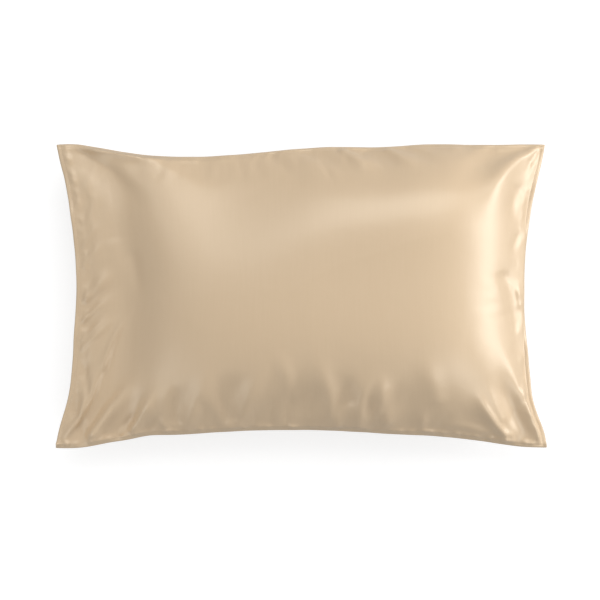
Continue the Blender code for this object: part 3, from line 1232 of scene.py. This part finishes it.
class NodeTree:
    """A shader or shape tree that is put together node by node."""

    def __init__(self, tree: bpy.types.NodeTree) -> None:
        """Take a tree, to fill it."""
        self.tree = tree

    def node(
        self, kind: str, inputs: dict[str | int, object] | None = None, **settings: object
    ) -> bpy.types.Node:
        """Add a node.

        Args:
            kind: the node's type name.
            inputs: values or sockets, by input name or number.
            settings: the node's own settings.

        Returns:
            The node.
        """
        made = self.tree.nodes.new(kind)
        for name, value in settings.items():
            setattr(made, name, value)
        for name, value in (inputs or {}).items():
            socket = made.inputs[name]
            if isinstance(value, Socket):
                self.tree.links.new(value, socket)
            else:
                socket.default_value = value
        return made

    def math(self, operation: str, *values: float | Socket) -> Socket:
        """Add a math node and give back its result."""
        made = self.node("ShaderNodeMath", dict(enumerate(values)), operation=operation)
        return made.outputs[0]

    def vector(self, x: Socket, y: Socket, z: float | Socket) -> Socket:
        """Put three amounts together as a vector."""
        return self.node("ShaderNodeCombineXYZ", {"X": x, "Y": y, "Z": z}).outputs[0]

    def noise(self, place: Socket, **inputs: float) -> Socket:
        """Add a noise and give back its height, from 0 to 1."""
        inputs = {name.capitalize(): value for name, value in inputs.items()}
        return self.node("ShaderNodeTexNoise", {"Vector": place, **inputs}).outputs[0]

    def blend(self, share: Socket, first: Colour, second: Colour) -> Socket:
        """Blend two colours by a share and give back the result."""
        inputs = {"Factor": share, FIRST_COLOUR: first, SECOND_COLOUR: second}
        return self.node("ShaderNodeMix", inputs, data_type="RGBA").outputs[BLENDED_COLOUR]

    def bump(
        self, height: Socket, distance: float, strength: float = 1.0, over: Socket | None = None
    ) -> Socket:
        """Turn a height into a bumped normal.

        Args:
            height: the height, from 0 to 1.
            distance: how far 1 stands over 0.
            strength: how much of it shows.
            over: a normal that is bumped already, if any.

        Returns:
            The normal.
        """
        inputs = {"Height": height, "Strength": strength, "Distance": distance}
        if over is not None:
            inputs["Normal"] = over
        return self.node("ShaderNodeBump", inputs).outputs[0]

    def socket(self, name: str, kind: str, value: float | None = None, out: bool = False) -> None:
        """Add a named input or output to a group.

        Args:
            name: the socket's name.
            kind: the socket's type name.
            value: what an input is at first, if that matters.
            out: whether it is an output.
        """
        way = "OUTPUT" if out else "INPUT"
        made = self.tree.interface.new_socket(name=name, in_out=way, socket_type=kind)
        if value is not None:
            made.default_value = value


def blank_material(name: str) -> tuple[bpy.types.Material, NodeTree]:
    """Make a material with an empty tree.

    Args:
        name: the material's name.

    Returns:
        The material, and its tree to fill.
    """
    material = bpy.data.materials.new(name)
    material.use_nodes = True
    material.node_tree.nodes.clear()
    return material, NodeTree(material.node_tree)


class Grain(NamedTuple):
    """A noise of the cloth. The layer is the depth at which it is cut, so that no two match."""

    layer: float
    detail: float
    roughness: float

    def over(self, made: NodeTree, x: Socket, y: Socket) -> Socket:
        """Lay the noise over places of the cloth, which are counted in its own sizes."""
        place = made.vector(x, y, self.layer)
        return made.noise(place, scale=1.0, detail=self.detail, roughness=self.roughness)


@dataclass(frozen=True)
class SatinWeave:
    """Weave of a satin: fine long threads, coarser slubs and a soft cockle.

    A slub is a thread that is wider and longer, by one over each share.
    """

    threads: Grain = Grain(0.0, 2.0, 0.5)
    slubs: Grain = Grain(3.7, 3.0, 0.55)
    cockle: Grain = Grain(8.1, 1.5, 0.4)
    slub_width_share: float = 0.16
    slub_length_share: float = 0.22
    tone_range: float = 0.6
    tone_least: float = 0.2

    def group(self) -> bpy.types.NodeTree:
        """Build the weave.

        Returns:
            A shader group. It takes the cloth's flat coordinates in metres, and puts out the
            height of the threads, the height of the cockle, and a tone from 0 to 1.
        """
        group = bpy.data.node_groups.new("satin_weave", "ShaderNodeTree")
        made = NodeTree(group)
        made.socket("Cloth", "NodeSocketVector")
        made.socket("Thread width", "NodeSocketFloat")
        made.socket("Thread length", "NodeSocketFloat")
        made.socket("Cockle size", "NodeSocketFloat")
        made.socket("Threads", "NodeSocketFloat", out=True)
        made.socket("Cockle", "NodeSocketFloat", out=True)
        made.socket("Tone", "NodeSocketFloat", out=True)
        start = made.node("NodeGroupInput")
        split = made.node("ShaderNodeSeparateXYZ", {"Vector": start.outputs["Cloth"]})
        wide = made.math("DIVIDE", split.outputs["X"], start.outputs["Thread width"])
        long = made.math("DIVIDE", split.outputs["Y"], start.outputs["Thread length"])
        threads = self.threads.over(made, wide, long)
        slub_wide = made.math("MULTIPLY", wide, self.slub_width_share)
        slub_long = made.math("MULTIPLY", long, self.slub_length_share)
        slubs = self.slubs.over(made, slub_wide, slub_long)
        cockle_x = made.math("DIVIDE", split.outputs["X"], start.outputs["Cockle size"])
        cockle_y = made.math("DIVIDE", split.outputs["Y"], start.outputs["Cockle size"])
        cockle = self.cockle.over(made, cockle_x, cockle_y)
        tone = made.math("ADD", made.math("MULTIPLY", slubs, self.tone_range), self.tone_least)
        made.node("NodeGroupOutput", {"Threads": threads, "Cockle": cockle, "Tone": tone})
        return group


@dataclass(frozen=True)
class SatinFinish:
    """Woven satin with a warm, broad gloss."""

    name: str = "champagne_satin"
    light_tone: Colour = (0.590, 0.446, 0.297, 1.0)
    dark_tone: Colour = (0.555, 0.414, 0.266, 1.0)
    smoother: float = 0.34
    rougher: float = 0.41
    specular: float = 1.0
    specular_tint: Colour = (1.0, 0.96, 0.86, 1.0)
    sheen: float = 0.10
    sheen_roughness: float = 0.45
    sheen_tint: Colour = (1.0, 0.93, 0.80, 1.0)
    metallic: float = 0.0
    thread_width: float = 0.00045
    thread_length: float = 0.014
    cockle_size: float = 0.022
    thread_height: float = 0.00002
    cockle_height: float = 0.00022

    def material(self, weave: bpy.types.NodeTree) -> bpy.types.Material:
        """Build the material.

        Args:
            weave: the satin weave group.

        Returns:
            The material.
        """
        material, made = blank_material(self.name)
        cloth = made.node("ShaderNodeUVMap", uv_map=CLOTH_MAP)
        woven = made.node(
            "ShaderNodeGroup",
            {
                "Cloth": cloth.outputs[0],
                "Thread width": self.thread_width,
                "Thread length": self.thread_length,
                "Cockle size": self.cockle_size,
            },
            node_tree=weave,
        )
        tone = woven.outputs["Tone"]
        rough = made.node(
            "ShaderNodeMapRange", {"Value": tone, "To Min": self.smoother, "To Max": self.rougher}
        )
        cockle = made.bump(woven.outputs["Cockle"], self.cockle_height)
        threads = made.bump(woven.outputs["Threads"], self.thread_height, over=cockle)
        shader = made.node(
            "ShaderNodeBsdfPrincipled",
            {
                "Base Color": made.blend(tone, self.dark_tone, self.light_tone),
                "Roughness": rough.outputs[0],
                "Metallic": self.metallic,
                "Specular IOR Level": self.specular,
                "Specular Tint": self.specular_tint,
                "Sheen Weight": self.sheen,
                "Sheen Roughness": self.sheen_roughness,
                "Sheen Tint": self.sheen_tint,
                "Normal": threads,
            },
        )
        made.node("ShaderNodeOutputMaterial", {"Surface": shader.outputs[0]})
        return material


@dataclass(frozen=True)
class ThreadFinish:
    """Sewing thread, a little lighter and glossier than the cloth."""

    name: str = "sewing_thread"
    colour: Colour = (0.70, 0.57, 0.42, 1.0)
    deep_colour: Colour = (0.60, 0.47, 0.33, 1.0)
    roughness: float = 0.42
    ply_scale: float = 2600.0
    ply_height: float = 0.00004
    ply_strength: float = 0.6

    def material(self) -> bpy.types.Material:
        """Build the material.

        Returns:
            The material.
        """
        material, made = blank_material(self.name)
        place = made.node("ShaderNodeTexCoord").outputs["Object"]
        ply = made.noise(place, scale=self.ply_scale, detail=1.0)
        shader = made.node(
            "ShaderNodeBsdfPrincipled",
            {
                "Base Color": made.blend(ply, self.deep_colour, self.colour),
                "Roughness": self.roughness,
                "Normal": made.bump(ply, self.ply_height, self.ply_strength),
            },
        )
        made.node("ShaderNodeOutputMaterial", {"Surface": shader.outputs[0]})
        return material


@dataclass(frozen=True)
class FloorFinish:
    """Pale matt floor, which also glows a little to the camera alone."""

    name: str = "studio_floor"
    colour: Colour = (0.42, 0.42, 0.42, 1.0)
    roughness: float = 0.75
    specular: float = 0.2
    glow_colour: Colour = (1.0, 1.0, 1.0, 1.0)
    glow: float = 0.66

    def material(self) -> bpy.types.Material:
        """Build the material.

        Returns:
            The material.
        """
        material, made = blank_material(self.name)
        seen = made.node("ShaderNodeLightPath").outputs["Is Camera Ray"]
        shader = made.node(
            "ShaderNodeBsdfPrincipled",
            {
                "Base Color": self.colour,
                "Roughness": self.roughness,
                "Specular IOR Level": self.specular,
                "Emission Color": self.glow_colour,
                "Emission Strength": made.math("MULTIPLY", seen, self.glow),
            },
        )
        made.node("ShaderNodeOutputMaterial", {"Surface": shader.outputs[0]})
        return material


@dataclass
class HemStitching:
    """Rows of single stitches along the flange of both short sides.

    The spread is the most that a stitch turns askew, in radians.
    """

    pitch: float = 0.0032
    length: float = 0.0024
    thread: float = 0.00032
    clear: float = 0.0001
    spread: float = 0.10
    facets: int = 6
    rings: int = 5
    seed: int = 7

    def tree(self, material: bpy.types.Material) -> bpy.types.NodeTree:
        """Build the shape tree: one stitch at each step along a line.

        Args:
            material: the thread's finish.

        Returns:
            A geometry tree with named inputs.
        """
        group = bpy.data.node_groups.new("hem_stitches", "GeometryNodeTree")
        made = NodeTree(group)
        made.socket("Geometry", "NodeSocketGeometry")
        made.socket("Pitch", "NodeSocketFloat", self.pitch)
        made.socket("Stitch length", "NodeSocketFloat", self.length)
        made.socket("Thread", "NodeSocketFloat", self.thread)
        made.socket("Spread", "NodeSocketFloat", self.spread)
        made.socket("Geometry", "NodeSocketGeometry", out=True)
        start = made.node("NodeGroupInput")
        line = made.node("GeometryNodeMeshToCurve", {"Mesh": start.outputs["Geometry"]})
        steps = made.node(
            "GeometryNodeResampleCurve",
            {"Curve": line.outputs[0], "Length": start.outputs["Pitch"]},
            mode="LENGTH",
        )
        stitch = made.node(
            "GeometryNodeMeshUVSphere",
            {"Segments": self.facets, "Rings": self.rings, "Radius": 1.0},
        )
        half_length = made.math("MULTIPLY", start.outputs["Stitch length"], 0.5)
        size = made.vector(start.outputs["Thread"], start.outputs["Thread"], half_length)
        tangent = made.node("GeometryNodeInputTangent")
        turn = made.node(
            "FunctionNodeAlignRotationToVector", {"Vector": tangent.outputs[0]}, axis="Z"
        )
        high = start.outputs["Spread"]
        low = made.math("MULTIPLY", high, -1.0)
        stray = made.node(
            "FunctionNodeRandomValue",
            {0: made.vector(low, low, low), 1: made.vector(high, high, high), "Seed": self.seed},
            data_type="FLOAT_VECTOR",
        )
        stray_turn = made.node("FunctionNodeEulerToRotation", {0: stray.outputs[0]})
        turned = made.node(
            "FunctionNodeRotateRotation",
            {"Rotation": turn.outputs[0], "Rotate By": stray_turn.outputs[0]},
            rotation_space="LOCAL",
        )
        placed = made.node(
            "GeometryNodeInstanceOnPoints",
            {
                "Points": steps.outputs[0],
                "Instance": stitch.outputs[0],
                "Rotation": turned.outputs[0],
                "Scale": size,
            },
        )
        real = made.node("GeometryNodeRealizeInstances", {"Geometry": placed.outputs[0]})
        dressed = made.node(
            "GeometryNodeSetMaterial", {"Geometry": real.outputs[0], "Material": material}
        )
        smooth = made.node("GeometryNodeSetShadeSmooth", {0: dressed.outputs[0]})
        made.node("NodeGroupOutput", {"Geometry": smooth.outputs[0]})
        return group

    def build(self, lines: list[np.ndarray], material: bpy.types.Material) -> bpy.types.Object:
        """Sew the stitches along the lines.

        Args:
            lines: points of each stitched line, the ones under the flange last.
            material: the thread's finish.

        Returns:
            The stitches as one plain mesh.
        """
        points = []
        edges = []
        for place, line in enumerate(lines):
            lift = self.clear if place < len(lines) // 2 else -self.clear
            first = len(points)
            points += [(x, y, z + lift) for x, y, z in line]
            edges += [(first + step, first + step + 1) for step in range(len(line) - 1)]
        guide_mesh = bpy.data.meshes.new("stitch_guide")
        guide_mesh.from_pydata(points, edges, [])
        guide = bpy.data.objects.new("stitch_guide", guide_mesh)
        bpy.context.scene.collection.objects.link(guide)
        modifier = guide.modifiers.new("stitches", "NODES")
        modifier.node_group = self.tree(material)
        values = {
            "Pitch": self.pitch,
            "Stitch length": self.length,
            "Thread": self.thread,
            "Spread": self.spread,
        }
        for item in modifier.node_group.interface.items_tree:
            if item.in_out == "INPUT" and item.name in values:
                modifier[item.identifier] = values[item.name]
        shown = guide.evaluated_get(bpy.context.evaluated_depsgraph_get())
        mesh = bpy.data.meshes.new_from_object(shown)
        mesh.name = "hem_stitching"
        bpy.data.objects.remove(guide)
        stitching = bpy.data.objects.new("hem_stitching", mesh)
        bpy.context.scene.collection.objects.link(stitching)
        return stitching


class Softbox(NamedTuple):
    """A large soft light: where it stands, what it faces, its size and its power."""

    name: str
    place: Point
    aim: Point
    width: float
    height: float
    power: float


@dataclass
class Studio:
    """A pale floor, soft lights and a camera straight over the case."""

    softboxes: tuple[Softbox, ...] = (
        Softbox("side_light", (2.38, 0.36, 0.66), (0.0, 0.0, 0.10), 1.8, 1.1, 37.0),
        Softbox("head_light", (0.50, 1.80, 2.15), (0.0, 0.0, 0.10), 3.0, 1.9, 42.0),
        Softbox("fill_light", (1.5, -1.3, 1.5), (0.0, 0.0, 0.10), 1.0, 0.9, 8.0),
        Softbox("far_light", (-1.5, 1.2, 1.7), (0.0, 0.0, 0.10), 1.3, 1.3, 5.0),
        Softbox("low_light", (-1.05, -0.85, 0.62), (-0.28, -0.17, 0.05), 1.0, 0.8, 3.0),
    )
    sky: Colour = (1.0, 1.0, 1.0, 1.0)
    sky_strength: float = 0.51
    floor_size: float = 60.0
    floor_drop: float = 0.0004
    view: OverheadView = OverheadView()

    def light(self) -> None:
        """Set the softboxes and the sky."""
        for row in self.softboxes:
            data = bpy.data.lights.new(row.name, "AREA")
            data.shape = "RECTANGLE"
            data.size = row.width
            data.size_y = row.height
            data.energy = row.power
            lamp = bpy.data.objects.new(row.name, data)
            lamp.location = row.place
            aim = Vector(row.aim) - Vector(row.place)
            lamp.rotation_euler = aim.to_track_quat("-Z", "Y").to_euler()
            bpy.context.scene.collection.objects.link(lamp)
        world = bpy.data.worlds.new("studio_sky")
        world.use_nodes = True
        background = world.node_tree.nodes["Background"]
        background.inputs["Color"].default_value = self.sky
        background.inputs["Strength"].default_value = self.sky_strength
        bpy.context.scene.world = world

    def floor(self, material: bpy.types.Material) -> bpy.types.Object:
        """Lay the floor just under the case.

        Args:
            material: the floor's finish.

        Returns:
            The floor.
        """
        half = self.floor_size / 2.0
        corners = [(-half, -half), (half, -half), (half, half), (-half, half)]
        mesh = bpy.data.meshes.new("studio_floor")
        mesh.from_pydata([(x, y, -self.floor_drop) for x, y in corners], [], [(0, 1, 2, 3)])
        mesh.materials.append(material)
        floor = bpy.data.objects.new("studio_floor", mesh)
        bpy.context.scene.collection.objects.link(floor)
        return floor

    def camera(self) -> bpy.types.Object:
        """Hang the camera over the case, level with its face.

        Returns:
            The camera.
        """
        data = bpy.data.cameras.new("overhead_camera")
        data.lens = self.view.lens
        data.sensor_width = self.view.sensor
        camera = bpy.data.objects.new("overhead_camera", data)
        camera.location = (*self.view.foot, self.view.seam_level + self.view.rise)
        bpy.context.scene.collection.objects.link(camera)
        bpy.context.scene.camera = camera
        return camera


TOP_CREASES = (
    # Upper left corner: a broad ridge out of the corner, its crest, and the valley under it.
    Crease(Spot(74, 148), Spot(138, 148), Spot(230, 214), 0.038, 0.054, 0.009),
    Crease(Spot(78, 146), Spot(142, 148), Spot(206, 184), 0.010, 0.019, 0.010, 0.2),
    Crease(Spot(72, 153), Spot(116, 172), Spot(148, 226), 0.012, 0.021, -0.010, -0.2),
    # Slack band beside the pillow's end: its crest, and the crease behind it.
    Crease(Spot(112, 238), Spot(118, 264), Spot(128, 300), 0.012, 0.010, 0.0018),
    Crease(Spot(130, 250), Spot(139, 275), Spot(138, 312), 0.009, 0.008, -0.003),
    Crease(Spot(104, 374), Spot(110, 336), Spot(138, 300), 0.006, 0.0065, 0.005),
    Crease(Spot(62, 441), Spot(98, 404), Spot(110, 330), 0.007, 0.009, 0.0065),
    Crease(Spot(66, 442), Spot(106, 412), Spot(121, 320), 0.007, 0.012, -0.007),
    # Slanting creases of the slack band, and the leaf-shaped loop near its foot.
    Crease(Spot(75, 334), Spot(90, 324), Spot(116, 304), 0.005, 0.0065, -0.005),
    Crease(Spot(76, 324), Spot(90, 314), Spot(112, 294), 0.0045, 0.006, 0.004),
    Crease(Spot(76, 352), Spot(97, 336), Spot(124, 312), 0.004, 0.005, 0.0036),
    Crease(Spot(76, 343), Spot(92, 332), Spot(114, 314), 0.0036, 0.0045, 0.0026),
    Crease(Spot(80, 314), Spot(100, 299), Spot(124, 280), 0.006, 0.007, -0.0042),
    Crease(Spot(80, 302), Spot(98, 288), Spot(120, 266), 0.007, 0.008, 0.0044),
    Crease(Spot(78, 288), Spot(92, 277), Spot(112, 258), 0.006, 0.007, -0.0038),
    Crease(Spot(78, 250), Spot(88, 240), Spot(102, 220), 0.005, 0.0065, 0.003),
    Crease(Spot(76, 380), Spot(92, 362), Spot(112, 338), 0.005, 0.0065, -0.004),
    Crease(Spot(78, 268), Spot(90, 258), Spot(108, 240), 0.0055, 0.007, 0.003),
    Crease(Spot(69, 432), Spot(92, 402), Spot(80, 378), 0.0035, 0.0035, 0.0028),
    Crease(Spot(70, 420), Spot(78, 402), Spot(74, 380), 0.004, 0.004, -0.0035),
    # Lower left corner.
    Crease(Spot(86, 443), Spot(108, 414), Spot(146, 366), 0.008, 0.015, 0.017, -0.2),
    Crease(Spot(114, 437), Spot(126, 424), Spot(150, 404), 0.005, 0.007, -0.0055),
    Crease(Spot(130, 435), Spot(141, 413), Spot(166, 378), 0.0065, 0.012, 0.013, -0.2),
    Crease(Spot(148, 433), Spot(153, 425), Spot(163, 408), 0.0045, 0.006, -0.004),
    Crease(Spot(170, 433), Spot(163, 424), Spot(154, 412), 0.0045, 0.005, 0.0035),
    Crease(Spot(176, 426), Spot(176, 406), Spot(188, 372), 0.012, 0.015, -0.0045),
    # Gathers along the lower side.
    Crease(Spot(184, 431), Spot(200, 402), Spot(214, 350), 0.010, 0.015, 0.005),
    Crease(Spot(211, 431), Spot(210, 418), Spot(212, 398), 0.008, 0.010, -0.0032),
    Crease(Spot(228, 431), Spot(228, 422), Spot(231, 406), 0.006, 0.006, 0.003),
    Crease(Spot(230, 424), Spot(229, 400), Spot(233, 366), 0.015, 0.019, -0.005),
    Crease(Spot(235, 431), Spot(249, 399), Spot(277, 345), 0.009, 0.016, 0.0055),
    Crease(Spot(294, 404), Spot(286, 372), Spot(270, 340), 0.010, 0.014, 0.0025),
    Crease(Spot(266, 427), Spot(268, 412), Spot(284, 382), 0.015, 0.019, -0.0036),
    Crease(Spot(306, 427), Spot(304, 408), Spot(298, 380), 0.018, 0.022, -0.004),
    Crease(Spot(339, 431), Spot(328, 404), Spot(313, 338), 0.009, 0.016, 0.0065),
    Crease(Spot(350, 408), Spot(344, 392), Spot(340, 366), 0.010, 0.013, -0.0036),
    Crease(Spot(359, 431), Spot(356, 408), Spot(371, 372), 0.008, 0.013, 0.0045),
    Crease(Spot(372, 430), Spot(369, 412), Spot(374, 392), 0.008, 0.010, -0.003),
    Crease(Spot(388, 428), Spot(384, 404), Spot(370, 360), 0.010, 0.015, 0.004),
    Crease(Spot(404, 432), Spot(404, 408), Spot(412, 362), 0.017, 0.022, -0.0046),
    Crease(Spot(422, 434), Spot(421, 422), Spot(424, 408), 0.006, 0.006, 0.0035),
    Crease(Spot(438, 408), Spot(432, 384), Spot(419, 345), 0.012, 0.018, 0.003),
    Crease(Spot(500, 440), Spot(476, 420), Spot(438, 398), 0.006, 0.015, -0.0026),
    Crease(Spot(498, 438), Spot(470, 423), Spot(420, 426), 0.006, 0.008, 0.003),
    # Lower right corner: two ridges out of the corner with a valley between.
    Crease(Spot(509, 441), Spot(487, 420), Spot(470, 382), 0.0055, 0.011, 0.0095),
    Crease(Spot(503, 424), Spot(494, 408), Spot(482, 376), 0.004, 0.007, 0.003),
    Crease(Spot(527, 440), Spot(507, 410), Spot(492, 364), 0.007, 0.011, -0.009),
    Crease(Spot(547, 447), Spot(522, 404), Spot(492, 318), 0.0085, 0.015, 0.012),
    Crease(Spot(513, 443), Spot(511, 438), Spot(507, 428), 0.003, 0.0035, 0.0025),
    # Dents beside the right seam.
    Crease(Spot(522, 186), Spot(505, 205), Spot(518, 228), 0.0085, 0.0085, -0.007),
    Crease(Spot(522, 232), Spot(506, 242), Spot(513, 264), 0.0055, 0.0055, -0.004),
    Crease(Spot(500, 270), Spot(512, 300), Spot(521, 366), 0.010, 0.009, -0.0065),
    Crease(Spot(514, 288), Spot(519, 312), Spot(528, 332), 0.003, 0.003, 0.0025),
    # Upper right corner: a ridge that bends down into the right shoulder, and its valley.
    Crease(Spot(540, 147), Spot(490, 160), Spot(482, 240), 0.008, 0.024, 0.011),
    Crease(Spot(536, 149), Spot(490, 146), Spot(442, 198), 0.007, 0.022, -0.011),
    Crease(Spot(537, 152), Spot(531, 161), Spot(524, 178), 0.0035, 0.004, -0.0035),
    # Small gathers along the upper side.
    Crease(Spot(158, 155), Spot(190, 165), Spot(236, 194), 0.008, 0.014, -0.0035),
    Crease(Spot(268, 154), Spot(285, 165), Spot(314, 190), 0.008, 0.012, -0.004),
    Crease(Spot(298, 151), Spot(325, 154), Spot(364, 182), 0.007, 0.011, -0.008),
    Crease(Spot(338, 149), Spot(350, 155), Spot(384, 180), 0.005, 0.009, 0.0055),
    Crease(Spot(346, 149), Spot(372, 152), Spot(408, 174), 0.006, 0.010, -0.0085),
    Crease(Spot(382, 148), Spot(395, 154), Spot(430, 176), 0.005, 0.009, 0.005),
    Crease(Spot(396, 148), Spot(415, 151), Spot(446, 170), 0.005, 0.009, -0.0055),
    Crease(Spot(318, 157), Spot(324, 168), Spot(340, 194), 0.004, 0.0045, -0.0018),
)

UNDER_FOLDS = (
    Fold(Place(-0.352, 0.212), Place(-0.300, 0.176), Place(-0.235, 0.130), 0.010, 0.020, 0.010),
    Fold(Place(0.350, 0.210), Place(0.302, 0.178), Place(0.236, 0.126), 0.010, 0.020, 0.010),
    Fold(Place(-0.352, -0.212), Place(-0.300, -0.180), Place(-0.240, -0.128), 0.010, 0.020, 0.010),
    Fold(Place(0.354, -0.212), Place(0.302, -0.184), Place(0.244, -0.130), 0.010, 0.020, 0.010),
    Fold(Place(-0.170, 0.212), Place(-0.160, 0.180), Place(-0.144, 0.140), 0.010, 0.015, 0.007),
    Fold(Place(-0.040, 0.216), Place(-0.030, 0.190), Place(-0.034, 0.150), 0.012, 0.016, -0.006),
    Fold(Place(0.060, 0.222), Place(0.052, 0.190), Place(0.046, 0.145), 0.010, 0.015, 0.007),
    Fold(Place(0.200, 0.224), Place(0.190, 0.190), Place(0.172, 0.145), 0.010, 0.015, 0.006),
    Fold(Place(-0.140, -0.202), Place(-0.134, -0.176), Place(-0.118, -0.130), 0.010, 0.015, 0.007),
    Fold(Place(-0.030, -0.199), Place(-0.020, -0.172), Place(-0.024, -0.128), 0.010, 0.015, 0.006),
    Fold(Place(0.060, -0.200), Place(0.056, -0.172), Place(0.066, -0.128), 0.012, 0.016, -0.006),
    Fold(Place(0.170, -0.206), Place(0.160, -0.180), Place(0.142, -0.132), 0.010, 0.015, 0.007),
    Fold(Place(-0.336, 0.060), Place(-0.310, 0.066), Place(-0.262, 0.058), 0.010, 0.015, 0.006),
    Fold(Place(-0.338, -0.070), Place(-0.310, -0.062), Place(-0.262, -0.050), 0.010, 0.015, 0.006),
    Fold(Place(0.336, 0.050), Place(0.310, 0.056), Place(0.262, 0.048), 0.010, 0.015, 0.006),
    Fold(Place(0.336, -0.080), Place(0.310, -0.072), Place(0.262, -0.060), 0.010, 0.015, 0.006),
)

TOP_GATHERS = (
    SeamGathers(Side.LEFT, 0.0150, 0.0018, 0.011, 11, bead=0.0020),
    SeamGathers(Side.RIGHT, 0.0170, 0.0014, 0.011, 12, bead=0.0014),
    SeamGathers(Side.LOWER, 0.0168, 0.0015, 0.012, 13, bead=0.0032, end_strength=2.0),
    SeamGathers(Side.LOWER, 0.0430, 0.0020, 0.026, 17),
    SeamGathers(Side.UPPER, 0.0180, 0.0015, 0.012, 14, bead=0.0009),
)
UNDER_GATHERS = (
    SeamGathers(Side.LEFT, 0.022, 0.0012, 0.018, 21),
    SeamGathers(Side.RIGHT, 0.022, 0.0012, 0.018, 22),
    SeamGathers(Side.LOWER, 0.020, 0.0013, 0.020, 23),
    SeamGathers(Side.UPPER, 0.020, 0.0013, 0.020, 24),
)


def corners(low: Vector, high: Vector) -> list[list[float]]:
    """Turn a box into plain lists."""
    return [list(low), list(high)]


def main() -> None:
    """Build the case and its stitching, dress them, and set the studio."""
    logging.basicConfig(level=logging.INFO, format="%(name)s: %(message)s")
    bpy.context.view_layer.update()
    studio = Studio()
    outline = Outline()
    filling = Filling()
    case = FilledCase(
        outline=outline,
        filling=filling,
        hem=Hem(),
        top_folds=Folds(studio.view.folds(TOP_CREASES, outline, filling)),
        under_folds=Folds(UNDER_FOLDS),
        top_gathers=TOP_GATHERS,
        under_gathers=UNDER_GATHERS,
        trial=ClothTrial(),
    )
    case.settle()
    satin_case = case.build(SatinFinish().material(SatinWeave().group()))
    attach(satin_case, BODY)
    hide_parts(NODE)
    LOG.info("satin case: %d faces", len(satin_case.data.polygons))

    stitching = HemStitching().build(case.stitch_lines(), ThreadFinish().material())
    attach(stitching, BODY)
    LOG.info("hem stitching: %d faces", len(stitching.data.polygons))

    studio.light()
    studio.floor(FloorFinish().material())
    studio.camera()
    bpy.context.scene.view_settings.view_transform = "Standard"
    LOG.info("studio set")


if __name__ == "__main__":
    main()
